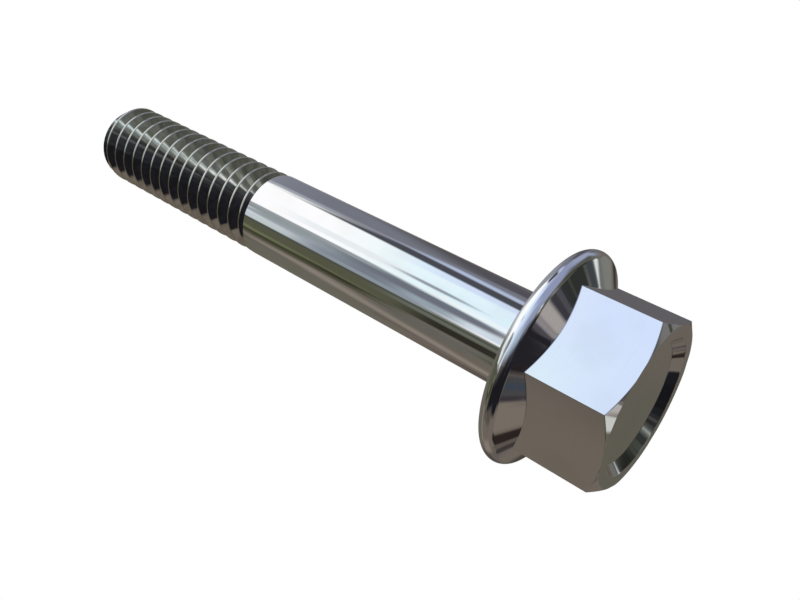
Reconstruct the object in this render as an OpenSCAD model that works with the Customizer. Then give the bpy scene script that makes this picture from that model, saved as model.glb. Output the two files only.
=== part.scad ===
// Hexagon flange bolt: one solid piece with a dished head, a conical flange
// with a rounded rim, a plain shank and a rolled thread.
// It stands on its head. The origin is the centre of the bearing face under
// the head, and +Z runs along the shank to the thread's tip.

/* [Shank] */
// Diameter of the plain shank
shank_d = 7.75; // [6.5:0.05:9]
// Length of the plain shank, from the bearing face to the thread
shank_l = 29; // [15:0.5:60]
// Radius of the fillet under the head
neck_fillet_r = 0.4; // [0.2:0.05:0.7]

/* [Thread] */
// Diameter over the thread's crests
thread_d = 7.7; // [6.5:0.05:9]
// Length of the thread, from the plain shank to the tip
thread_l = 21.8; // [12:0.2:30]
// Advance of the thread in one turn
thread_pitch = 1.411; // [1:0.001:1.8]
// Angle between the two flanks of a groove
thread_angle = 60; // [50:1:65]
// Where round the axis a crest leaves the plain shank, from a hexagon corner
thread_turn = 86; // [0:1:359]
// Angle of the chamfer at the tip, from the axis
tip_angle = 45; // [30:1:60]
// How far the chamfer's small end lies inside the thread's root
tip_inset = 0.15; // [0.05:0.05:0.5]

/* [Hexagon] */
// Width of the hexagon across its flats
across_flats = 12.7; // [11:0.1:16]
// Height of the head, from the bearing face to the end
head_h = 8.5; // [7:0.1:12]
// Slope of the chamfer on the hexagon's corners, from the end plane
corner_slope = 30; // [20:1:40]
// How far the chamfer's edge circle stands outside the flats
corner_over = 0.05; // [0.01:0.01:0.2]

/* [Flange] */
// Diameter of the flange over its rounded rim
flange_d = 17.4; // [16.6:0.1:24]
// Radius of the flange's rounded rim
rim_r = 0.75; // [0.5:0.05:1]
// Slope of the flange's conical top, from the bearing face
flange_slope = 30; // [15:1:33]

/* [Dish] */
// Width of the flat ring left around the dish in the head's end
land_w = 0.95; // [0.5:0.05:2]
// Depth of the dish
dish_depth = 0.72; // [0.3:0.02:1.5]
// Angle of the dish's wall, from the axis
dish_wall_angle = 42; // [20:1:60]

/* [Hidden] */
$fn = 96;
finish = [0.76, 0.77, 0.79];

// Working overlap between shapes that are joined or cut
lap = 1;
shank_r = shank_d / 2;
tip_z = shank_l + thread_l;

// Hexagon
hex_r = across_flats / 2;
hex_corner_d = across_flats / cos(30);
corner_circle_r = hex_r + corner_over;

// Flange: the top cone is all but tangent to the rim's circle. It bites this
// deep into it, so that the two cross cleanly.
rim_bite = 0.005;
rim_centre_r = flange_d / 2 - rim_r;
cone_touch_r = rim_centre_r + (rim_r - rim_bite) * sin(flange_slope);
cone_touch_z = -rim_r - (rim_r - rim_bite) * cos(flange_slope);
// The cone runs on inside the hexagon to this radius, out of sight
cone_inner_r = shank_r;
cone_inner_z = cone_touch_z - (cone_touch_r - cone_inner_r) * tan(flange_slope);

// Dish
dish_r = corner_circle_r - land_w;
dish_floor_r = dish_r - dish_depth * tan(dish_wall_angle);

// Thread profile: flat crest, flank, flat root, flank
crest_w = thread_pitch / 8;
root_w = thread_pitch / 6;
flank_w = (thread_pitch - crest_w - root_w) / 2;
thread_depth = flank_w / tan(thread_angle / 2);
crest_r = thread_d / 2;
root_r = crest_r - thread_depth;
profile_r = [crest_r, crest_r, root_r, root_r];
profile_z = [0, crest_w, crest_w + flank_w, crest_w + flank_w + root_w];
profile_n = len(profile_r);

// Thread sweep: it starts inside the shank and ends beyond the tip
turn_steps = 36;
buried_turns = 2;
sweep_start_z = shank_l - buried_turns * thread_pitch;
turns = ceil((tip_z - sweep_start_z) / thread_pitch) + 1;
column_n = profile_n * turns + 1;

// Tip
tip_r = root_r - tip_inset;
envelope_r = crest_r + lap;
envelope_l = (envelope_r - tip_r) / tan(tip_angle);

// Point m of the profile column that stands at angular step j
function sweep_point(j, m) =
    let (turn = floor(m / profile_n) + j / turn_steps)
    let (r = profile_r[m % profile_n])
    let (a = 360 * j / turn_steps)
    [r * cos(a), r * sin(a), sweep_start_z + turn * thread_pitch + profile_z[m % profile_n]];

// Number of that point. The column after one whole turn is the first column,
// one pitch up, and only its last points are new.
function point_at(j, m) =
    j < turn_steps ? j * column_n + m :
    m + profile_n < column_n ? m + profile_n :
    turn_steps * column_n + m + profile_n - column_n;

module thread_sweep() {
    columns = [for (j = [0 : turn_steps - 1]) for (m = [0 : column_n - 1]) sweep_point(j, m)];
    last_column = [for (m = [column_n - profile_n : column_n - 1]) sweep_point(turn_steps, m)];
    foot = len(columns) + len(last_column);
    top = foot + 1;
    ends = [[0, 0, sweep_start_z], [0, 0, sweep_start_z + (turns + 1) * thread_pitch]];
    outer_faces = [
        for (j = [0 : turn_steps - 1]) for (m = [0 : column_n - 2]) each [
            [point_at(j, m), point_at(j, m + 1), point_at(j + 1, m + 1)],
            [point_at(j, m), point_at(j + 1, m + 1), point_at(j + 1, m)]
        ]
    ];
    foot_faces = [for (j = [0 : turn_steps - 1]) [foot, point_at(j, 0), point_at(j + 1, 0)]];
    foot_step = [for (m = [0 : profile_n - 1]) [foot, point_at(0, m + 1), point_at(0, m)]];
    top_faces = [
        for (j = [0 : turn_steps - 1])
            [top, point_at(j + 1, column_n - 1), point_at(j, column_n - 1)]
    ];
    top_step = [
        for (m = [column_n - 1 - profile_n : column_n - 2])
            [top, point_at(turn_steps, m), point_at(turn_steps, m + 1)]
    ];
    polyhedron(
        points = concat(columns, last_column, ends),
        faces = concat(outer_faces, foot_faces, foot_step, top_faces, top_step)
    );
}

// Everything inside the tip's chamfer and end plane
module tip_envelope() {
    rotate_extrude()
        polygon([
            [0, sweep_start_z - lap],
            [envelope_r, sweep_start_z - lap],
            [envelope_r, tip_z - envelope_l],
            [tip_r, tip_z],
            [0, tip_z]
        ]);
}

module threaded_end() {
    intersection() {
        rotate([0, 0, thread_turn])
            thread_sweep();
        tip_envelope();
    }
}

// Half section of the shank and the flange
module turned_section() {
    difference() {
        union() {
            square([shank_r, shank_l]);
            square([shank_r + neck_fillet_r, neck_fillet_r]);
            translate([rim_centre_r, -rim_r])
                circle(r = rim_r);
            polygon([
                [0, 0],
                [rim_centre_r, 0],
                [rim_centre_r, -rim_r],
                [cone_touch_r, cone_touch_z],
                [cone_inner_r, cone_inner_z],
                [0, cone_inner_z]
            ]);
        }
        translate([shank_r + neck_fillet_r, neck_fillet_r])
            circle(r = neck_fillet_r);
    }
}

module turned_body() {
    rotate_extrude()
        turned_section();
}

// Hexagonal prism with its corners chamfered at the end
module hexagon() {
    corner_reach = hex_corner_d / 2 + lap - corner_circle_r;
    intersection() {
        translate([0, 0, -head_h])
            cylinder(d = hex_corner_d, h = head_h - rim_r, $fn = 6);
        rotate_extrude()
            polygon([
                [0, -head_h],
                [corner_circle_r, -head_h],
                [corner_circle_r + corner_reach, -head_h + corner_reach * tan(corner_slope)],
                [corner_circle_r + corner_reach, 0],
                [0, 0]
            ]);
    }
}

// Shallow dish cut into the head's end
module dish() {
    mouth = lap * tan(dish_wall_angle);
    translate([0, 0, -head_h - lap])
        cylinder(r1 = dish_r + mouth, r2 = dish_floor_r, h = dish_depth + lap);
}

module bolt() {
    color(finish)
        difference() {
            union() {
                turned_body();
                hexagon();
                threaded_end();
            }
            dish();
        }
}

bolt();
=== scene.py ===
"""Looks of a hexagon flange bolt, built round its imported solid.

The bolt stands on its head in the solid's own frame: the origin is the centre
of the bearing face, +Z runs along the shank to the tip, and two corners of the
hexagon lie on the X axis. Sizes are in millimetres until a mesh is written.

The bolt is one closed surface on the same columns round the axis throughout:
level rows at the tip, helical rows on the thread, and level rows again from
the shank's end over the flange and the hexagon into the dish.
"""

import logging
import math
from dataclasses import dataclass, field
from enum import Enum

import bpy
import numpy as np
from mathutils import Matrix, Vector


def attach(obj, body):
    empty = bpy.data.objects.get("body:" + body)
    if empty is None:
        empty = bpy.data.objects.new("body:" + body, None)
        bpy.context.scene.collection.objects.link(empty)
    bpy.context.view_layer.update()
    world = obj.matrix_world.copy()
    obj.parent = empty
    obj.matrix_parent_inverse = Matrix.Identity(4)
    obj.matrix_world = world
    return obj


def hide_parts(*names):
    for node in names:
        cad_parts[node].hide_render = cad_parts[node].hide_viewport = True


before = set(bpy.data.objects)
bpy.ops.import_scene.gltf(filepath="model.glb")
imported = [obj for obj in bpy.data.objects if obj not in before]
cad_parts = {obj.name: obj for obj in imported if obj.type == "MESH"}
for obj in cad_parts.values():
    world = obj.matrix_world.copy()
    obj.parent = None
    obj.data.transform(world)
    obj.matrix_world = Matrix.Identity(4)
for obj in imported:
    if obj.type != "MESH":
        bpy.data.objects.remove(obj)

log = logging.getLogger("bolt")
MM = 0.001
DEGREES = 180 / math.pi
NODE = "bolt"
BODY = "root"
# Points are merged when they agree to this many parts of a millimetre
WELD_STEPS = 1e5
# Angle round the axis that each of the hexagon's six sides takes
SIDE_ANGLE = math.radians(60)
# Places of a Mix node's colour sockets, whose names it has several times
MIX_SHARE, MIX_UNDER, MIX_OVER = 0, 6, 7
MIX_RESULT = 2

Number = float | int
Colour = tuple[float, float, float]
Light = tuple[float, float, float, float]
Tint = bpy.types.NodeSocket | Light
Place = tuple[float | np.ndarray, float | np.ndarray]


@dataclass
class Mesh:
    """Points and four-cornered faces of a surface, in millimetres."""

    points: np.ndarray
    quads: np.ndarray

    @staticmethod
    def joined(parts: list["Mesh"]) -> "Mesh":
        """Puts several meshes in one, their shared borders not yet merged.

        Args:
            parts: the meshes, in the order that their points are to have.

        Returns:
            One mesh, in which each part's faces count on from the part before.
        """
        starts = np.cumsum([0] + [len(part.points) for part in parts[:-1]])
        return Mesh(
            np.concatenate([part.points for part in parts]),
            np.concatenate([part.quads + start for part, start in zip(parts, starts)]),
        )


def around(r: Number | np.ndarray, angles: np.ndarray, z: np.ndarray) -> np.ndarray:
    """Points round the axis: (r cos a, r sin a, z)."""
    return np.stack([r * np.cos(angles), r * np.sin(angles), z], axis=-1)


def grid_mesh(points: np.ndarray, turn: int = 0) -> Mesh:
    """Makes the mesh of a grid that is closed round the axis.

    Level rows run from the tip to the head and columns run round the axis, so
    a face takes a row's point, the next row's, its neighbour there and its
    neighbour here, and looks outwards. Helical rows climb towards the tip, so
    their faces take the same points the other way round, and the last column
    meets the first one a whole turn's rows further on.

    Args:
        points: array of rows x columns x 3, with no column repeated.
        turn: number of helical rows in one turn, or 0 for level rows.

    Returns:
        The mesh, with its points in rows.
    """
    rows, columns = points.shape[:2]
    row, column = np.meshgrid(np.arange(rows - 1), np.arange(columns), indexing="ij")
    beside = (column + 1) % columns
    near = row + turn * (column == columns - 1)
    quads = np.stack(
        [
            row * columns + column,
            (row + 1) * columns + column,
            np.minimum(near + 1, rows - 1) * columns + beside,
            np.minimum(near, rows - 1) * columns + beside,
        ],
        axis=-1,
    )
    if turn:
        quads = quads[..., [0, 3, 2, 1]]
    return Mesh(points.reshape(-1, 3), quads.reshape(-1, 4))


def welded(mesh: Mesh) -> tuple[np.ndarray, np.ndarray, np.ndarray]:
    """Merges points that coincide and sorts out the faces that this flattens.

    Args:
        mesh: the mesh, whose parts share borders and whose poles are rows.

    Returns:
        The merged points, the faces that keep four corners, and the faces that
        are left with three. Faces without an area are dropped.
    """
    keys = np.round(mesh.points * WELD_STEPS).astype(np.int64)
    _, first, inverse = np.unique(keys, axis=0, return_index=True, return_inverse=True)
    corners = inverse.reshape(-1)[mesh.quads]
    same_as_next = corners == np.roll(corners, -1, axis=1)
    crossed = (corners[:, 0] == corners[:, 2]) | (corners[:, 1] == corners[:, 3])
    merged = same_as_next.sum(axis=1)
    whole = corners[(merged == 0) & ~crossed]
    pinched = corners[(merged == 1) & ~crossed]
    kept = ~same_as_next[(merged == 1) & ~crossed]
    return mesh.points[first], whole, pinched[kept].reshape(-1, 3)


def area_normals(points: np.ndarray, quads: np.ndarray, triangles: np.ndarray) -> np.ndarray:
    """Works out the normal at each point from the faces round it.

    It is the sum of the faces' area vectors, made unit length, and a face's
    area vector is half the cross product of its diagonals. A large flat face
    outweighs the narrow faces of a rounded edge beside it, so flats stay flat
    up to their rounded edges.

    Args:
        points: the points, n x 3.
        quads: the faces with four corners, as numbers of points.
        triangles: the faces with three.

    Returns:
        The normals, n x 3.
    """
    total = np.zeros_like(points)
    for faces in (quads, triangles):
        last = faces[:, 3] if faces.shape[1] == 4 else faces[:, 0]
        across = points[faces[:, 2]] - points[faces[:, 0]]
        other = points[last] - points[faces[:, 1]]
        area = 0.5 * np.cross(across, other)
        for corner in range(faces.shape[1]):
            np.add.at(total, faces[:, corner], area)
    return total / np.linalg.norm(total, axis=1, keepdims=True)


def smooth_piece(name: str, mesh: Mesh) -> bpy.types.Object:
    """Puts a mesh into the scene as one closed, smoothly shaded piece.

    Args:
        name: the piece's name.
        mesh: its surface, in millimetres.

    Returns:
        The piece, in metres, at the origin.
    """
    points, quads, triangles = welded(mesh)
    normals = area_normals(points, quads, triangles)
    loops = np.concatenate([quads.reshape(-1), triangles.reshape(-1)]).astype(np.int32)
    totals = np.repeat([4, 3], [len(quads), len(triangles)]).astype(np.int32)
    starts = np.concatenate([[0], np.cumsum(totals)[:-1]]).astype(np.int32)
    data = bpy.data.meshes.new(name)
    data.vertices.add(len(points))
    data.vertices.foreach_set("co", (points * MM).astype(np.float32).reshape(-1))
    data.loops.add(len(loops))
    data.loops.foreach_set("vertex_index", loops)
    data.polygons.add(len(totals))
    data.polygons.foreach_set("loop_start", starts)
    data.polygons.foreach_set("loop_total", totals)
    data.update(calc_edges=True)
    data.shade_smooth()
    data.normals_split_custom_set_from_vertices(normals.tolist())
    piece = bpy.data.objects.new(name, data)
    bpy.context.scene.collection.objects.link(piece)
    log.info("%s: %d points, %d faces", name, len(points), len(totals))
    return piece


def linear(colour: Colour) -> Light:
    """Turns a colour as a screen shows it into the renderer's linear light.

    Below 0.04045 a part is its share of 255 over 12.92, and above it the share
    plus 0.055, over 1.055, to the power of 2.4.

    Args:
        colour: red, green and blue, from 0 to 255.

    Returns:
        Red, green, blue and an opacity of 1.
    """
    parts = []
    for part in colour:
        share = part / 255
        parts.append(share / 12.92 if share <= 0.04045 else ((share + 0.055) / 1.055) ** 2.4)
    return (*parts, 1.0)


class Value:
    """A number that varies over a surface or a direction, as a node's output.

    Expressions on it add Math nodes to its graph.
    """

    def __init__(self, graph: "Graph", socket: bpy.types.NodeSocket) -> None:
        """Wraps one output socket of a node in the graph."""
        self.graph = graph
        self.socket = socket

    def math(self, operation: str, *values: "Value | Number") -> "Value":
        """A Math node on the given values, in their order."""
        return self.graph.add("ShaderNodeMath", {"operation": operation}, list(values)).value()

    def __add__(self, other: "Value | Number") -> "Value":
        """Sum."""
        return self.math("ADD", self, other)

    __radd__ = __add__

    def __sub__(self, other: "Value | Number") -> "Value":
        """Difference."""
        return self.math("SUBTRACT", self, other)

    def __rsub__(self, other: Number) -> "Value":
        """Difference from a number, such as 1 - mask."""
        return self.math("SUBTRACT", other, self)

    def __mul__(self, other: "Value | Number") -> "Value":
        """Product."""
        return self.math("MULTIPLY", self, other)

    __rmul__ = __mul__

    def __truediv__(self, other: "Value | Number") -> "Value":
        """Quotient."""
        return self.math("DIVIDE", self, other)

    def __pow__(self, other: Number) -> "Value":
        """Power."""
        return self.math("POWER", self, other)

    def __abs__(self) -> "Value":
        """Size without sign."""
        return self.math("ABSOLUTE", self)

    def at_least(self, other: "Value | Number") -> "Value":
        """The larger of the two."""
        return self.math("MAXIMUM", self, other)

    def wrapped(self, low: Number, high: Number) -> "Value":
        """The value brought between two limits by whole steps of their span."""
        return self.math("WRAP", self, high, low)

    def smooth(self, low: Number, high: Number, start: Number = 0, end: Number = 1) -> "Value":
        """Runs from start to end as the value runs from low to high, eased."""
        settings = {"interpolation_type": "SMOOTHSTEP", "data_type": "FLOAT"}
        return self.graph.add("ShaderNodeMapRange", settings, [self, low, high, start, end]).value()


class Node:
    """One node of a graph, with its outputs at hand by name."""

    def __init__(self, graph: "Graph", node: bpy.types.Node) -> None:
        """Wraps a node."""
        self.graph = graph
        self.node = node

    def value(self, name: str | int = 0) -> Value:
        """An output as a number for expressions."""
        return Value(self.graph, self.node.outputs[name])

    def __getitem__(self, name: str | int) -> bpy.types.NodeSocket:
        """An output socket."""
        return self.node.outputs[name]


class Graph:
    """The nodes of one material, or of the surroundings."""

    def __init__(self, owner: bpy.types.Material | bpy.types.World) -> None:
        """Starts an empty graph in a material or a world."""
        owner.use_nodes = True
        self.tree = owner.node_tree
        self.tree.nodes.clear()

    def add(self, kind: str, settings: dict | None = None, inputs: dict | list | None = None) -> Node:
        """Adds a node.

        Args:
            kind: the node's type.
            settings: its properties, such as a Math node's operation. They
                are set first, because they change its sockets.
            inputs: a value, socket or Value for each input socket, by name or
                place, or in their order.

        Returns:
            The node, wrapped.
        """
        node = self.tree.nodes.new(kind)
        for name, setting in (settings or {}).items():
            setattr(node, name, setting)
        pairs = enumerate(inputs) if isinstance(inputs, list) else (inputs or {}).items()
        for name, given in pairs:
            given = given.socket if isinstance(given, Value) else given
            if isinstance(given, bpy.types.NodeSocket):
                self.tree.links.new(given, node.inputs[name])
            else:
                node.inputs[name].default_value = given
        return Node(self, node)

    def mix(self, share: Value | Number, under: Tint, over: Tint) -> bpy.types.NodeSocket:
        """A colour between two, where a share of 1 gives the second."""
        sockets = {MIX_SHARE: share, MIX_UNDER: under, MIX_OVER: over}
        return self.add("ShaderNodeMix", {"data_type": "RGBA"}, sockets)[MIX_RESULT]

    def layered(self, share: Value | bpy.types.NodeSocket, under: Node, over: Node) -> Node:
        """A shader between two, where a share of 1 gives the second."""
        return self.add("ShaderNodeMixShader", inputs=[share, under[0], over[0]])


class Outline(Enum):
    """Outline of a light or dark area in the surroundings."""

    BOX = "box"
    OVAL = "oval"


@dataclass(frozen=True)
class Area:
    """A soft-edged area of the surroundings, in degrees round the bolt.

    The azimuth runs from +X towards +Y and the elevation up from the level of
    the floor. A turn tips the area anticlockwise, seen from the bolt.
    """

    colour: Colour
    azimuth: float
    elevation: float
    width: float
    height: float
    soft: float = 8.0
    turn: float = 0.0
    share: float = 1.0
    outline: Outline = Outline.BOX

    def mask(self, azimuth: Value, elevation: Value) -> Value:
        """Works out how much of the area is seen in a direction.

        For a box it eases off over the soft width across the nearest side. For
        an oval it eases off with the length of the place measured in half
        widths and half heights.

        Args:
            azimuth: the direction's azimuth, in degrees.
            elevation: the direction's elevation, in degrees.

        Returns:
            The area's share inside its outline, and 0 outside it.
        """
        across = (azimuth - self.azimuth).wrapped(-180, 180)
        up = elevation - self.elevation
        if self.turn:
            cosine, sine = math.cos(self.turn / DEGREES), math.sin(self.turn / DEGREES)
            across, up = across * cosine + up * sine, up * cosine - across * sine
        if self.outline is Outline.BOX:
            outside = (abs(across) - self.width / 2).at_least(abs(up) - self.height / 2)
            return outside.smooth(-self.soft / 2, self.soft / 2, self.share, 0)
        reach = ((across / (self.width / 2)) ** 2 + (up / (self.height / 2)) ** 2) ** 0.5
        edge = self.soft / min(self.width, self.height)
        return reach.smooth(1 - edge, 1 + edge, self.share, 0)


# An area gives its colour, azimuth, elevation, width, height and softness, and
# some also their turn, share and outline. In a group, later areas lie over
# earlier ones.

# Grey ceiling with a bright strip on one side and a dark one on the other
CEILING = (
    Area((140, 143, 141), 0, 90, 360, 34, 22),
    Area((236, 239, 242), -22, 75, 116, 18, 24),
    Area((188, 191, 194), 26, 68, 96, 14, 14),
    Area((95, 98, 86), 130, 70, 116, 24, 14),
)
# Blue-grey glow under the window wall
WINDOW_GLOW = (
    Area((141, 150, 180), -48, -18, 150, 84, 26),
    Area((158, 168, 203), -40, 4, 16, 8, 9),
    Area((203, 220, 238), -98, 4, 50, 36, 36),
    Area((166, 183, 198), -109, -22, 22, 40, 18),
    Area((150, 159, 180), 8, 0, 30, 20, 12),
    Area((100, 103, 110), -2, -38, 26, 38, 22),
    Area((100, 106, 115), -92, -54, 30, 12, 10),
)
# Dark corner towards -X
DARK_CORNER = (
    Area((25, 25, 31), -152, -26, 52, 150, 48, 30),
    Area((26, 26, 31), -168, -25, 28, 80, 14),
    Area((27, 26, 31), 170.5, -54, 63, 40, 10, 38),
    Area((27, 27, 32), -160, -67, 110, 22, 8),
    Area((50, 53, 58), -130, -58, 26, 16, 14),
)
# Window wall towards -Y, white above and bluish at its foot
WINDOW_WALL = (
    Area((255, 255, 255), -84, 46, 116, 60, 14),
    Area((222, 227, 228), -126, 60, 30, 34, 14),
    Area((229, 247, 251), -70, 26, 76, 14, 10),
    Area((211, 226, 252), -78, 14, 56, 16, 12),
    Area((222, 242, 250), -82, 23, 16, 10, 12),
)
# Blind and frame at the window wall's end towards +X
BLIND = (
    Area((140, 144, 153), 16, 50, 80, 36, 9),
    Area((178, 182, 187), 56, 62, 36, 22, 14),
    Area((116, 119, 129), 15, 29, 63, 26, 10),
    Area((82, 80, 86), 24, 25, 46, 12, 10, 8),
    Area((178, 191, 217), -19, 24, 8, 14, 7, -32),
    Area((160, 167, 176), -22.5, 41, 8, 8, 7),
    Area((208, 223, 246), -47, 23, 16, 13, 8),
    Area((72, 74, 82), -31.8, 26.5, 15.5, 21, 5, -30),
)
# Things seen through the window wall
OUTSIDE = (
    Area((138, 148, 157), -123, 33, 40, 14, 8),
    Area((190, 202, 204), -134, 43, 14, 7, 6),
    Area((154, 163, 169), -121, 42, 9, 12, 5),
    Area((118, 126, 136), -125, 33, 16, 5, 5),
    Area((205, 218, 228), -127, 22, 14, 8, 6),
    Area((150, 163, 174), -126, 28, 12, 4, 3),
    Area((130, 140, 142), -109, 42, 12, 12, 6),
    Area((108, 113, 123), -113, 28, 17, 15, 7, 0, 1, Outline.OVAL),
    Area((150, 157, 160), -105.5, 39, 8, 13, 3),
    Area((236, 246, 248), -100, 24, 9, 9, 6),
    Area((146, 154, 157), -115, 39, 9, 6, 4),
    Area((112, 114, 104), -141.5, 23, 7, 10, 4),
    Area((146, 154, 164), -85.5, 28.5, 7, 6.5, 3.5, 0, 1, Outline.OVAL),
    Area((233, 238, 240), -84, 35, 14, 7, 5),
)
# Hedge at the window wall's end towards -X
HEDGE = (
    Area((84, 85, 68), -163, 46, 42, 66, 5),
    Area((112, 117, 86), -172, 41, 10, 10, 8, -25),
    Area((44, 43, 38), -162, 25, 16, 8, 5),
    Area((106, 104, 97), -175, 26, 8, 6, 5),
    Area((48, 48, 36), -176, 35, 7, 6, 5, -25),
    Area((100, 103, 92), -150, 25, 9, 12, 5),
    Area((70, 76, 70), -144.5, 34, 4, 24, 4),
)
# Plain far wall with lighter and darker patches
FAR_WALL = (
    Area((107, 99, 89), 155, 10, 26, 40, 8),
    Area((108, 101, 91), 167, 34, 14, 24, 5),
    Area((112, 105, 98), 145.5, -50, 6, 9, 5),
    Area((102, 99, 89), 125, 38, 60, 14, 8),
    Area((62, 62, 46), -177, 42, 9, 12, 7),
    Area((100, 98, 90), 172, 27, 24, 8, 5),
    Area((136, 128, 118), 151, 30, 40, 7, 7, 28),
    Area((79, 71, 66), 108, 12, 22, 26, 12),
    Area((64, 60, 56), 86, 6, 11, 14, 9),
    Area((92, 85, 78), 172, 10, 12, 20, 8),
    Area((129, 121, 110), 132, 1, 18, 26, 10),
    Area((98, 90, 86), 110, -15, 16, 20, 8),
    Area((84, 77, 71), 172, -12, 18, 24, 12),
    Area((94, 92, 95), 53, 14, 16, 14, 4),
    Area((54, 54, 53), 57, 1.8, 8, 7, 4),
    Area((100, 102, 108), 29, 10, 14, 12, 10),
    Area((120, 121, 115), 46.5, -13, 11.5, 18, 3),
    Area((94, 91, 81), 73, -14, 26, 34, 8),
    Area((103, 96, 89), 66, -11, 8, 10, 7),
    Area((62, 63, 59), 75, -30, 30, 20, 14),
    Area((118, 109, 100), 117, -48, 16, 18, 3),
)
# Floor of the room, dark right below the bolt
ROOM_FLOOR = (
    Area((138, 148, 168), -52, -54, 50, 14, 14),
    Area((83, 84, 77), 10, -48, 72, 44, 12, 52),
    Area((124, 130, 122), -15, -56, 10, 5, 4),
    Area((98, 100, 93), 30, -19, 12, 8, 8),
    Area((42, 45, 39), 17, -38.5, 40, 5, 2.5, 32),
    Area((74, 76, 70), -5, -45, 16, 9, 8, 40),
    Area((62, 64, 65), -66, -71, 60, 8, 4),
    Area((94, 99, 92), -66, -64.4, 13, 5, 5),
    Area((46, 47, 50), -94, -69.2, 56, 9.4, 6),
    Area((35, 37, 41), -112, -71.6, 24, 5, 4),
    Area((82, 82, 83), -86, -68.8, 17, 4.8, 4.4, -23),
    Area((49, 49, 47), -73.5, -68.9, 11, 4.4, 4, -15),
    Area((95, 99, 91), -23, -53.5, 36, 8, 4, 23),
    Area((110, 115, 109), -52, -63.5, 24, 6, 8),
    Area((90, 96, 86), -28, -62.5, 9, 5, 4),
    Area((150, 160, 155), -44, -63, 16, 9, 3.4, -6),
    Area((214, 227, 228), -45, -59.7, 12, 2.8, 2.6, -20),
    Area((220, 224, 219), -42.8, -66, 9.5, 3, 2.6, -3),
    Area((130, 134, 126), -14, -57, 12, 6, 5, 20),
    Area((34, 33, 38), 0, -90, 360, 32, 5),
)
# Stripes and patches on the floor and low on the walls
FLOOR_STRIPES = (
    Area((114, 113, 110), 47, -42, 26, 44, 5),
    Area((45, 48, 45), 27, -45, 13, 19, 3),
    Area((62, 66, 69), 34, -30.3, 10, 7, 3),
    Area((62, 64, 61), 26, -48.5, 8, 1.6, 1.5),
    Area((73, 71, 82), 22.5, -57, 9, 2.4, 2),
    Area((58, 56, 62), 21, -61, 12, 4.6, 2),
    Area((160, 154, 151), 20, -68.3, 30, 8, 3),
    Area((136, 132, 134), 28, -74, 14, 3, 2),
    Area((72, 70, 74), 31, -76.6, 14, 2.4, 1.8),
    Area((48, 48, 52), 22, -54.4, 6, 2.2, 1.6),
    Area((106, 110, 108), 42.3, -21.4, 6, 6, 2),
    Area((216, 220, 220), 38.2, -23.6, 4.4, 4.2, 2),
    Area((63, 63, 61), 39.7, -34, 3, 3, 2),
    Area((42, 35, 33), 115.8, -33.3, 21.4, 7.4, 2.5, -10),
    Area((84, 77, 72), 108.5, -26.6, 12, 2.2, 3),
    Area((60, 55, 55), 104.3, -22.5, 6.2, 5, 2),
    Area((68, 67, 68), 125.5, -64.5, 13, 14, 3),
    Area((58, 67, 77), 124.5, -66, 14, 4, 3),
    Area((56, 51, 55), 123.5, -59.4, 12, 2.6, 2),
    Area((36, 32, 33), 119, -74.6, 13, 5, 3),
    Area((146, 142, 146), 6, -59, 8, 5, 4),
    Area((98, 95, 84), 113, -58.5, 16, 7, 4),
    Area((200, 202, 198), 109, -66, 15, 8.6, 3, -12),
    Area((176, 173, 171), 97, -72.2, 18, 4, 2.5),
    Area((150, 144, 144), 89, -75.4, 12, 3.2, 2.5),
    Area((57, 57, 58), 67, -77.4, 34, 4, 3),
)


@dataclass(frozen=True)
class Surroundings:
    """The studio as the steel reflects it, and plain white behind the bolt.

    The groups are laid over each other in their order: a glow under the
    window wall, which stands towards -Y, a dark corner towards -X, the
    ceiling, the window wall itself, a blind at its end towards +X, things
    outside it, a hedge at its end towards -X, a plain far wall, and the room's
    floor with the stripes on it.
    """

    wall: Colour = (109, 101, 92)
    backdrop: Colour = (255, 255, 255)
    level: float = 1.06
    areas: tuple[Area, ...] = (
        WINDOW_GLOW + DARK_CORNER + CEILING + WINDOW_WALL + BLIND + OUTSIDE + HEDGE
        + FAR_WALL + ROOM_FLOOR + FLOOR_STRIPES
    )

    def build(self) -> bpy.types.World:
        """Makes the scene's world.

        Each area is laid over the ones before it. Rays from the camera and
        from matt surfaces see the plain backdrop, so the world isn't sampled
        like a lamp. A direction's azimuth is the angle of (x, y), and its
        elevation the angle whose sine is z.

        Returns:
            The world.
        """
        world = bpy.data.worlds.new("studio")
        world.cycles.sampling_method = "NONE"
        bpy.context.scene.world = world
        graph = Graph(world)
        direction = graph.add("ShaderNodeTexCoord")["Generated"]
        axes = graph.add("ShaderNodeSeparateXYZ", inputs=[direction])
        x, y, z = (axes.value(name) for name in "XYZ")
        azimuth = y.math("ARCTAN2", y, x) * DEGREES
        elevation = z.math("ARCSINE", z) * DEGREES
        seen: Tint = linear(self.wall)
        for area in self.areas:
            seen = graph.mix(area.mask(azimuth, elevation), seen, linear(area.colour))
        rays = graph.add("ShaderNodeLightPath")
        plain = rays.value("Is Camera Ray").at_least(rays.value("Is Diffuse Ray"))
        studio = graph.add("ShaderNodeBackground", inputs={"Color": seen, "Strength": self.level})
        white = {"Color": linear(self.backdrop), "Strength": 1.0}
        behind = graph.add("ShaderNodeBackground", inputs=white)
        graph.add("ShaderNodeOutputWorld", inputs={"Surface": graph.layered(plain, studio, behind)[0]})
        log.info("surroundings: %d areas", len(self.areas))
        return world


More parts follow.
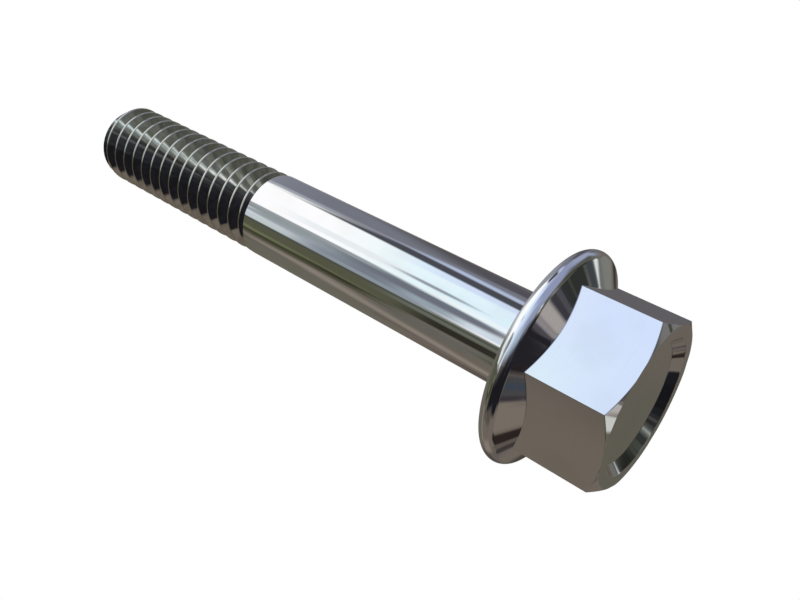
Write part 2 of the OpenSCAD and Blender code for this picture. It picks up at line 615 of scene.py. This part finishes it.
@dataclass(frozen=True)
class Floor:
    """Pale level floor under the head, which the camera below sees through."""

    colour: Colour = (233, 233, 233)
    radius: float = 900.0
    fade: tuple[float, float] = (160.0, 800.0)
    under: float = 0.02
    steps: int = 128

    def paint(self) -> bpy.types.Material:
        """Makes the floor's matt paint.

        Rays from below and from polished surfaces pass through it, and it
        fades into the backdrop with distance.

        Returns:
            The material, on object coordinates.
        """
        material = bpy.data.materials.new("pale_floor")
        graph = Graph(material)
        place = graph.add("ShaderNodeTexCoord")["Object"]
        away = graph.add("ShaderNodeVectorMath", {"operation": "LENGTH"}, [place]).value("Value") / MM
        through = graph.add("ShaderNodeNewGeometry").value("Backfacing")
        through = through.at_least(graph.add("ShaderNodeLightPath").value("Is Glossy Ray"))
        through = through.at_least(away.smooth(*self.fade))
        matt = graph.add("ShaderNodeBsdfDiffuse", inputs={"Color": linear(self.colour)})
        clear = graph.add("ShaderNodeBsdfTransparent")
        graph.add("ShaderNodeOutputMaterial", inputs={"Surface": graph.layered(through, matt, clear)[0]})
        return material

    def build(self, height: float) -> bpy.types.Object:
        """Makes the floor as a round disc.

        Args:
            height: the level that it lies just under, in millimetres.

        Returns:
            The floor.
        """
        angles = np.linspace(0, math.tau, self.steps, endpoint=False)
        level = np.full(self.steps, height - self.under)
        points = around(self.radius, angles, level)
        data = bpy.data.meshes.new("floor")
        data.from_pydata((points * MM).tolist(), [], [list(range(self.steps))])
        data.update()
        data.materials.append(self.paint())
        floor = bpy.data.objects.new("floor", data)
        bpy.context.scene.collection.objects.link(floor)
        return floor


@dataclass(frozen=True)
class SoftLamp:
    """Large lamp high on the window's side, which the steel doesn't reflect."""

    place: tuple[float, float, float] = (-120.0, -260.0, 420.0)
    width: float = 320.0
    watts: float = 0.6

    def build(self) -> bpy.types.Object:
        """Makes the lamp and turns it to the bolt.

        Returns:
            The lamp.
        """
        data = bpy.data.lights.new("soft_lamp", "AREA")
        data.shape = "DISK"
        data.size = self.width * MM
        data.energy = self.watts
        lamp = bpy.data.objects.new("soft_lamp", data)
        lamp.location = Vector(self.place) * MM
        lamp.rotation_euler = (-Vector(self.place)).to_track_quat("-Z", "Y").to_euler()
        lamp.visible_glossy = False
        bpy.context.scene.collection.objects.link(lamp)
        return lamp


@dataclass(frozen=True)
class Noise:
    """Fine variation, eased from 0 at its low level to 1 at its high one."""

    scale: float
    detail: float
    low: float
    high: float

    def share(self, graph: Graph, place: bpy.types.NodeSocket) -> Value:
        """The variation at a place."""
        inputs = {"Vector": place, "Scale": self.scale, "Detail": self.detail}
        return graph.add("ShaderNodeTexNoise", inputs=inputs).value().smooth(self.low, self.high)


@dataclass(frozen=True)
class Band:
    """Range of a measure, each end eased over its own softness to either side."""

    low: float
    high: float
    low_soft: float
    high_soft: float

    def share(self, measure: Value) -> Value:
        """1 inside the band and 0 outside it."""
        rising = measure.smooth(self.low - self.low_soft, self.low + self.low_soft)
        return rising * measure.smooth(self.high - self.high_soft, self.high + self.high_soft, 1, 0)


@dataclass(frozen=True)
class BrightSteel:
    """Bright plated steel with the traces of its making, and painted shade.

    The plating is a mirror with soft clouds and faint turning lines. Rolling
    has left the thread's flanks mottled. Painted shade dims and warms the
    reflection on the crests, darkens the bottom of the grooves, and darkens the
    dish's wall outside one range of angles, and more so in another. Heights and
    distances from the axis are in millimetres and angles round it in degrees.
    """

    name: str = "bright_steel_plated"
    colour: Colour = (247, 247, 249)
    cloud_colour: Colour = (242, 242, 242)
    line_colour: Colour = (228, 228, 230)
    rolled_colour: Colour = (222, 221, 217)
    # Painted shade: dims and warms the reflection on the thread's crests
    crest_shade_colour: Colour = (219, 216, 200)
    # Painted shade at the bottom of the thread's grooves
    groove_shade_colour: Colour = (94, 94, 95)
    # Painted shade over the dish's wall, left off in one range of angles
    wall_shade_colour: Colour = (214, 214, 214)
    # Darker painted shade on the dish's wall in another range of angles
    deep_shade_colour: Colour = (132, 132, 130)
    roughness: float = 0.04
    cloud_roughness: float = 0.055
    clouds: Noise = Noise(260.0, 3.0, 0.42, 0.68)
    lines: Noise = Noise(3.0, 4.0, 0.5, 0.75)
    line_share: float = 0.35
    line_stretch: tuple[float, float] = (0.6, 6.0)
    mottle: Noise = Noise(1400.0, 2.0, 0.42, 0.6)
    thread_z: Band = Band(29.03, 50.65, 0.02, 0.05)
    crest_r: tuple[float, float] = (3.72, 3.8)
    groove_r: tuple[float, float] = (3.0, 3.12)
    dish_wall_r: Band = Band(4.8, 5.45, 0.03, 0.03)
    dish_wall_z: Band = Band(-8.46, -7.7, 0.02, 0.02)
    # Angles round the axis where the dish's wall has no painted shade, and where it has darker painted
    # shade
    unshaded_angle: Band = Band(-8.0, 46.0, 4.0, 4.0)
    deep_shade_angle: Band = Band(90.5, 111.0, 1.5, 5.0)

    def build(self) -> bpy.types.Material:
        """Makes the material, on object coordinates.

        The turning lines are noise over the distance from the axis and the
        height alone, so that they run round the axis, and they show between
        the clouds. The layers of colour are laid over each other in order.

        Returns:
            The material.
        """
        material = bpy.data.materials.new(self.name)
        graph = Graph(material)
        place = graph.add("ShaderNodeTexCoord")["Object"]
        axes = graph.add("ShaderNodeSeparateXYZ", inputs=[place])
        x, y, z = (axes.value(name) / MM for name in "XYZ")
        r = (x**2 + y**2) ** 0.5
        angle = y.math("ARCTAN2", y, x) * DEGREES

        clouds = self.clouds.share(graph, place)
        across, along = self.line_stretch
        rings = graph.add("ShaderNodeCombineXYZ", inputs=[r * across, 0, z * along])
        lines = self.line_share * self.lines.share(graph, rings[0]) * (1 - clouds)
        threaded = self.thread_z.share(z)
        rolled = threaded * self.mottle.share(graph, place)
        # Painted shade on the crests, a darker and warmer reflection
        crest = threaded * r.smooth(*self.crest_r)
        # Painted shade in the bottom of the grooves
        groove_shade = threaded * r.smooth(*self.groove_r, 1, 0)
        dish_wall = self.dish_wall_r.share(r) * self.dish_wall_z.share(z)
        # Painted shade on the dish's wall outside one range of angles
        wall_shade = dish_wall * (1 - self.unshaded_angle.share(angle))
        # Darker painted shade on the dish's wall in another range of angles, over a highlight
        deep_shade = dish_wall * self.deep_shade_angle.share(angle)

        colour: Tint = linear(self.colour)
        for share, layer in (
            (clouds, self.cloud_colour),
            (lines, self.line_colour),
            (rolled, self.rolled_colour),
            (crest, self.crest_shade_colour),
            (groove_shade, self.groove_shade_colour),
            (wall_shade, self.wall_shade_colour),
            (deep_shade, self.deep_shade_colour),
        ):
            colour = graph.mix(share, colour, linear(layer))
        rough = self.roughness + clouds * (self.cloud_roughness - self.roughness)
        finish = {"Base Color": colour, "Metallic": 1.0, "Roughness": rough}
        steel = graph.add("ShaderNodeBsdfPrincipled", inputs=finish)
        graph.add("ShaderNodeOutputMaterial", inputs={"Surface": steel[0]})
        return material


def rounding(start: np.ndarray, corner: np.ndarray, end: np.ndarray, t: Number | np.ndarray) -> np.ndarray:
    """Rounds a corner off: (1-t)^2 start + 2 t (1-t) corner + t^2 end."""
    return (1 - t) ** 2 * start + 2 * t * (1 - t) * corner + t**2 * end


@dataclass
class Section:
    """Half section walked from the tip to the head, in every column at once.

    A row is an array of 2 x columns: the distance from the axis and the height
    in each column. A place may give either as one number for all columns.
    """

    columns: int
    rows: list[np.ndarray] = field(default_factory=list)
    shortest: float = 1e-9
    side_share: float = 0.45

    def row(self, place: Place) -> np.ndarray:
        """A place as a row."""
        return np.stack([np.broadcast_to(np.asarray(part, float), self.columns) for part in place])

    def go(self, place: Place) -> None:
        """Adds one row."""
        self.rows.append(self.row(place))

    def line(self, end: Place, shares: tuple[float, ...]) -> None:
        """Adds rows on the straight line from the last row to a new one.

        Args:
            end: the line's end.
            shares: places of the rows along the line, where 1 is its end.
        """
        start = self.rows[-1]
        for share in shares:
            self.rows.append(start + (self.row(end) - start) * share)

    def arc(self, centre: tuple[float, float], radius: float, start: float, end: float, steps: int) -> None:
        """Adds rows on a circle's arc: centre plus radius times (cosine, sine).

        Args:
            centre: the circle's centre as distance from the axis and height.
            radius: the circle's radius.
            start: angle of the first row, in degrees from straight outwards.
            end: angle of the last row.
            steps: number of steps between the two.
        """
        for angle in np.radians(np.linspace(start, end, steps + 1)):
            self.go((centre[0] + radius * math.cos(angle), centre[1] + radius * math.sin(angle)))

    def corner(self, corner: Place, ahead: Place, reach: float, steps: int) -> None:
        """Adds rows that round a corner off.

        The rounding starts and ends on the corner's two sides, at the same
        reach from it, or nearer where a side is short.

        Args:
            corner: the corner.
            ahead: the next corner.
            reach: distance from the corner at which the rounding starts.
            steps: number of steps in the rounding.
        """
        middle = self.row(corner)
        ends = []
        for side in (self.rows[-1] - middle, self.row(ahead) - middle):
            length = np.maximum(np.linalg.norm(side, axis=0), self.shortest)
            ends.append(middle + side * np.minimum(reach / length, self.side_share))
        for t in np.linspace(0, 1, steps + 1):
            self.rows.append(rounding(ends[0], middle, ends[1], t))

    def turned(self, angles: np.ndarray) -> Mesh:
        """Carries the section round the axis on columns at the given angles."""
        r, z = np.stack(self.rows, axis=1)
        return grid_mesh(around(r, angles, z))


@dataclass
class Thread:
    """Right-hand thread with a chamfered tip.

    Angles round the axis run from +X, where a corner of the hexagon lies. The
    chamfer's small end stands a little outside the thread's root, and the
    helical rows give way to level ones just below the chamfer's large end.
    """

    diameter: float = 7.7
    start: float = 29.0
    length: float = 21.8
    pitch: float = 1.411
    flank_angle: float = 60.0
    start_turn: float = 86.0
    tip_angle: float = 45.0
    tip_over: float = 0.2
    tip_margin: float = 0.1
    crest_share: float = 1 / 8
    root_share: float = 1 / 6
    ease: float = 0.075
    ease_steps: int = 3
    tip_rows: int = 40
    face_rows: tuple[float, ...] = (0.3, 0.6, 0.9, 0.98)

    @property
    def tip_z(self) -> float:
        """Height of the bolt's end."""
        return self.start + self.length

    @property
    def crest_r(self) -> float:
        """Radius over the crests."""
        return self.diameter / 2

    @property
    def flank_w(self) -> float:
        """Length of a flank along the axis."""
        return self.pitch * (1 - self.crest_share - self.root_share) / 2

    @property
    def root_r(self) -> float:
        """Radius at the grooves' bottom."""
        return self.crest_r - self.flank_w / math.tan(math.radians(self.flank_angle / 2))

    @property
    def tip_r(self) -> float:
        """Radius of the flat at the bolt's end."""
        return self.root_r + self.tip_over

    @property
    def helix_end(self) -> float:
        """Height at which the helical rows give way to the tip's level rows."""
        chamfer_l = (self.crest_r - self.tip_r) / math.tan(math.radians(self.tip_angle))
        return self.tip_z - chamfer_l - self.tip_margin

    def profile(self) -> tuple[np.ndarray, np.ndarray]:
        """Works out one turn's section, its four corners rounded off.

        The corners lie between crest, flank, root and flank. The one before
        the first is the last of the turn before, and the one after the last
        is the first of the next turn.

        Returns:
            Heights from the crest's start, and radii.
        """
        crest_w, root_w = self.pitch * self.crest_share, self.pitch * self.root_share
        z = np.array([0, crest_w, crest_w + self.flank_w, crest_w + self.flank_w + root_w])
        r = np.array([self.crest_r, self.crest_r, self.root_r, self.root_r])
        corners = np.stack([z, r], axis=1)
        turn = np.array([[self.pitch, 0.0]])
        ends = []
        for beside in (
            np.concatenate([corners[-1:] - turn, corners[:-1]]),
            np.concatenate([corners[1:], corners[:1] + turn]),
        ):
            side = beside - corners
            end = corners + side * self.ease / np.linalg.norm(side, axis=1, keepdims=True)
            ends.append(end[:, None])
        t = np.linspace(0, 1, self.ease_steps + 1)[:, None]
        points = rounding(ends[0], corners[:, None], ends[1], t).reshape(-1, 2)
        return points[:, 0], points[:, 1]

    def radius(self, angles: np.ndarray, heights: Number | np.ndarray) -> np.ndarray:
        """Works out the distance from the axis to the thread's surface.

        The profile climbs one pitch in a turn, so the place in it is the
        height above the thread's start less pitch times the angle from the
        start over a turn. The tip's cone cuts it off where that is nearer to
        the axis.

        Args:
            angles: angles round the axis.
            heights: heights, of a shape that goes with the angles.

        Returns:
            The distance at each angle and height.
        """
        z, r = self.profile()
        turned = angles - math.radians(self.start_turn)
        place = (heights - self.start - self.pitch * turned / math.tau) % self.pitch
        helix = np.interp(place, z, r, period=self.pitch)
        cone = self.tip_r + (self.tip_z - heights) * math.tan(math.radians(self.tip_angle))
        return np.minimum(helix, cone)

    def helix(self, angles: np.ndarray) -> Mesh:
        """Makes the helical rows, cut off level at the shank and below the tip.

        A row stays on one line of the profile as it climbs round the axis, and
        its height is held between the two levels.

        Args:
            angles: the columns' angles round the axis.

        Returns:
            The thread's surface between the two levels.
        """
        z, _ = self.profile()
        turns = math.ceil((self.helix_end - self.start) / self.pitch) + 2
        rows = (np.arange(-1, turns)[:, None] * self.pitch + z).reshape(-1)
        turned = angles - math.radians(self.start_turn)
        heights = self.start + rows[:, None] + self.pitch * turned / math.tau
        heights = np.clip(heights, self.start, self.helix_end)
        return grid_mesh(around(self.radius(angles, heights), angles, heights), len(z))

    def tip(self, angles: np.ndarray) -> Mesh:
        """Makes the end face and the chamfered last turn, on level rows.

        Args:
            angles: the columns' angles round the axis.

        Returns:
            The surface from the end face's middle down to the helical rows.
        """
        section = Section(len(angles))
        section.go((0, self.tip_z))
        section.line((self.radius(angles, self.tip_z), self.tip_z), self.face_rows)
        for height in np.linspace(self.tip_z, self.helix_end, self.tip_rows + 1):
            section.go((self.radius(angles, height), height))
        return section.turned(angles)


@dataclass
class Shank:
    """Plain round shank with a fillet under the head."""

    diameter: float = 7.75
    length: float = 29.0
    neck_fillet_r: float = 0.4
    end_ease: float = 0.04
    step_rows: tuple[float, ...] = (0.9, 1.0)
    ease_rows: tuple[float, ...] = (0.5, 1.0)
    stretches: int = 23
    neck_steps: int = 8

    @property
    def radius(self) -> float:
        """Radius of the shank."""
        return self.diameter / 2

    def walk(self, section: Section) -> None:
        """Adds the rows from the thread's foot to the bearing face.

        Args:
            section: the section so far, whose last row is the thread's foot.
        """
        section.line((self.radius - self.end_ease, self.length), self.step_rows)
        section.line((self.radius, self.length - self.end_ease), self.ease_rows)
        inner_rows = np.linspace(0, 1, self.stretches + 1)[1:-1]
        section.line((self.radius, self.neck_fillet_r), tuple(inner_rows))
        centre = (self.radius + self.neck_fillet_r, self.neck_fillet_r)
        section.arc(centre, self.neck_fillet_r, 180, 270, self.neck_steps)


@dataclass
class Flange:
    """Round flange with a flat bearing face, a rounded rim and a conical top."""

    diameter: float = 17.4
    rim_r: float = 0.75
    slope: float = 30.0
    rim_steps: int = 22
    bearing_rows: tuple[float, ...] = (0.02, 0.35, 0.7, 0.98)
    cone_rows: tuple[float, ...] = (0.03, 0.35, 0.65, 0.9)

    @property
    def rim_centre_r(self) -> float:
        """Distance from the axis to the centre of the rim's circle."""
        return self.diameter / 2 - self.rim_r

    def cone_height(self, radius: np.ndarray) -> np.ndarray:
        """Works out the height of the conical top, which touches the rim's circle.

        Args:
            radius: distances from the axis.

        Returns:
            The height at each: the touching point's, less the tangent of the
            slope times the distance inwards from it.
        """
        slope = math.radians(self.slope)
        touch_r = self.rim_centre_r + self.rim_r * math.sin(slope)
        touch_z = -self.rim_r - self.rim_r * math.cos(slope)
        return touch_z - (touch_r - radius) * math.tan(slope)

    def walk(self, section: Section, foot: Place) -> None:
        """Adds the rows of the bearing face, the rim and the cone.

        Args:
            section: the section so far, whose last row ends the neck's fillet.
            foot: the hexagon's foot on the cone.
        """
        section.line((self.rim_centre_r, 0), self.bearing_rows)
        centre = (self.rim_centre_r, -self.rim_r)
        section.arc(centre, self.rim_r, 90, self.slope - 90, self.rim_steps)
        section.line(foot, self.cone_rows)


@dataclass
class Hexagon:
    """Six flats with eased edges, corners chamfered at the end."""

    across_flats: float = 12.7
    height: float = 8.5
    edge_ease: float = 0.06
    edge_steps: int = 3
    flat_steps: int = 36
    foot_ease: float = 0.045
    foot_steps: int = 4
    chamfer_slope: float = 30.0
    chamfer_ease: float = 0.03
    chamfer_steps: int = 3
    corner_over: float = 0.05
    side_rows: tuple[float, ...] = (0.02, 0.2, 0.5, 0.8, 0.98)
    chamfer_rows: tuple[float, ...] = (0.1, 0.5, 0.9)

    @property
    def corner_circle_r(self) -> float:
        """Radius of the circle where the corner chamfers meet the end plane."""
        return self.across_flats / 2 + self.corner_over

    @property
    def edge_centre_r(self) -> float:
        """Distance from the axis to the centre of an eased edge."""
        return (self.across_flats / 2 - self.edge_ease) / math.cos(SIDE_ANGLE / 2)

    @property
    def edge_half_angle(self) -> float:
        """Angle about the axis from an eased edge's middle to its border."""
        sideways = self.edge_ease * math.sin(SIDE_ANGLE / 2)
        outwards = self.edge_centre_r + self.edge_ease * math.cos(SIDE_ANGLE / 2)
        return math.atan2(sideways, outwards)

    def angles(self) -> np.ndarray:
        """Works out the column angles, close together on the eased edges.

        Returns:
            The angles round the axis, from the middle of the edge on +X.
        """
        half = self.edge_half_angle
        edge = np.linspace(-half, half, 2 * self.edge_steps + 1)
        flat = np.linspace(half, SIDE_ANGLE - half, self.flat_steps + 1)[1:-1]
        one = np.concatenate([edge, flat])
        return np.concatenate([one + side * SIDE_ANGLE for side in range(6)])

    def radius(self, angles: np.ndarray) -> np.ndarray:
        """Works out the distance from the axis to the hexagon's side.

        On a flat it is half the width across flats over the cosine of the
        angle from the flat's middle. On an eased edge it is the far crossing
        of the ray with the edge's circle: c cos a + sqrt(e^2 - c^2 sin^2 a),
        where c is the distance of the circle's centre, e its radius and a the
        angle from the edge's middle.

        Args:
            angles: angles round the axis.

        Returns:
            The distance at each angle.
        """
        off = (angles + SIDE_ANGLE / 2) % SIDE_ANGLE - SIDE_ANGLE / 2
        flat = self.across_flats / 2 / np.cos(SIDE_ANGLE / 2 - np.abs(off))
        centre = self.edge_centre_r
        inside = np.maximum(self.edge_ease**2 - (centre * np.sin(off)) ** 2, 0)
        edge = centre * np.cos(off) + np.sqrt(inside)
        return np.where(np.abs(off) < self.edge_half_angle, edge, flat)

    def chamfer_start(self, side_r: np.ndarray) -> np.ndarray:
        """Height at which the chamfer's cone meets a side at that radius."""
        rise = np.maximum(side_r - self.corner_circle_r, 0) * math.tan(math.radians(self.chamfer_slope))
        return -self.height + rise

    def walk(self, section: Section, side_r: np.ndarray, foot_z: np.ndarray, mouth_r: float) -> None:
        """Adds the rows of the sides and the corner chamfers.

        Args:
            section: the section so far, whose last row is on the flange's cone.
            side_r: distance from the axis to the side, in each column.
            foot_z: height at which the side meets the flange, in each column.
            mouth_r: radius of the dish's mouth in the end plane.
        """
        chamfer_z = self.chamfer_start(side_r)
        circle_r = np.minimum(side_r, self.corner_circle_r)
        end_z = -self.height
        section.corner((side_r, foot_z), (side_r, chamfer_z), self.foot_ease, self.foot_steps)
        section.line((side_r, chamfer_z), self.side_rows)
        section.corner((side_r, chamfer_z), (circle_r, end_z), self.chamfer_ease, self.chamfer_steps)
        section.line((circle_r, end_z), self.chamfer_rows)
        section.corner((circle_r, end_z), (mouth_r, end_z), self.chamfer_ease, self.chamfer_steps)


@dataclass
class Dish:
    """Shallow dish in the head's end, inside a flat ring."""

    land: float = 0.95
    depth: float = 0.72
    wall_angle: float = 42.0
    ease: float = 0.035
    floor_ease: float = 0.07
    ease_steps: int = 3
    inner_rows: tuple[float, ...] = (0.06, 0.5, 0.94)
    floor_rows: tuple[float, ...] = (0.02, 0.3, 0.65, 0.9, 1.0)

    def walk(self, section: Section, mouth_r: float, end_z: float) -> None:
        """Adds the rows of the flat ring, the dish's wall and its floor.

        Args:
            section: the section so far, whose last row starts the flat ring.
            mouth_r: radius of the dish's mouth.
            end_z: height of the head's end plane.
        """
        floor_r = mouth_r - self.depth * math.tan(math.radians(self.wall_angle))
        floor_z = end_z + self.depth
        section.line((mouth_r, end_z), self.inner_rows)
        section.corner((mouth_r, end_z), (floor_r, floor_z), self.ease, self.ease_steps)
        section.line((floor_r, floor_z), self.inner_rows)
        section.corner((floor_r, floor_z), (0, floor_z), self.floor_ease, self.ease_steps)
        section.line((0, floor_z), self.floor_rows)


@dataclass
class Bolt:
    """The whole bolt, which is one closed piece."""

    name: str = "flange_bolt_steel"
    thread: Thread = field(default_factory=Thread)
    shank: Shank = field(default_factory=Shank)
    flange: Flange = field(default_factory=Flange)
    hexagon: Hexagon = field(default_factory=Hexagon)
    dish: Dish = field(default_factory=Dish)
    steel: BrightSteel = field(default_factory=BrightSteel)

    def turned_body(self, angles: np.ndarray) -> Mesh:
        """Makes everything from the step at the thread to the dish's middle.

        The section is the same at every angle down to the flange's top cone.
        From the hexagon's foot on, it follows the hexagon's radius.

        Args:
            angles: the columns' angles round the axis.

        Returns:
            The surface.
        """
        side_r = self.hexagon.radius(angles)
        foot_z = self.flange.cone_height(side_r)
        mouth_r = self.hexagon.corner_circle_r - self.dish.land
        section = Section(len(angles))
        section.go((self.thread.radius(angles, self.shank.length), self.shank.length))
        self.shank.walk(section)
        self.flange.walk(section, (side_r, foot_z))
        self.hexagon.walk(section, side_r, foot_z, mouth_r)
        self.dish.walk(section, mouth_r, -self.hexagon.height)
        return section.turned(angles)

    def build(self) -> bpy.types.Object:
        """Makes the piece and hangs it on the frame in place of its solid.

        The steel reflects the surroundings alone, and not itself.

        Returns:
            The piece.
        """
        angles = self.hexagon.angles()
        parts = [self.thread.tip(angles), self.thread.helix(angles), self.turned_body(angles)]
        piece = smooth_piece(self.name, Mesh.joined(parts))
        piece.data.materials.append(self.steel.build())
        piece.visible_glossy = False
        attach(piece, BODY)
        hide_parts(NODE)
        return piece


@dataclass(frozen=True)
class Camera:
    """The photograph's viewpoint, as an eye, a line of sight and an upright."""

    eye: tuple[float, float, float] = (-17.71, -57.375, -21.625)
    sight: tuple[float, float, float] = (0.23534, 0.83304, 0.50067)
    upright: tuple[float, float, float] = (0.78572, -0.46628, 0.40648)
    lens: float = 37.926
    sensor: float = 36.0
    nearest: float = 1.0
    farthest: float = 10000.0

    def build(self) -> bpy.types.Object:
        """Makes the scene's camera.

        The upright is set square to the line of sight.

        Returns:
            The camera.
        """
        data = bpy.data.cameras.new("camera")
        data.sensor_fit = "HORIZONTAL"
        data.sensor_width = self.sensor
        data.lens = self.lens
        data.clip_start = self.nearest * MM
        data.clip_end = self.farthest * MM
        sight = Vector(self.sight).normalized()
        right = sight.cross(Vector(self.upright)).normalized()
        upright = right.cross(sight)
        turn = Matrix((right, upright, -sight)).transposed().to_4x4()
        camera = bpy.data.objects.new("camera", data)
        camera.matrix_world = Matrix.Translation(Vector(self.eye) * MM) @ turn
        bpy.context.scene.collection.objects.link(camera)
        bpy.context.scene.camera = camera
        return camera


def main() -> None:
    """Builds the bolt, its surroundings and the camera, and notes the sizes."""
    logging.basicConfig(level=logging.INFO, format="%(name)s: %(message)s")
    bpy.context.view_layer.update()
    bpy.context.scene.view_settings.view_transform = "Standard"
    bolt = Bolt()
    log.info("%s: in place", Camera().build().name)
    log.info("%s: in place", Surroundings().build().name)
    log.info("%s: in place", SoftLamp().build().name)
    log.info("%s: in place", bolt.build().name)
    log.info("%s: in place", Floor().build(-bolt.hexagon.height).name)


if __name__ == "__main__":
    main()
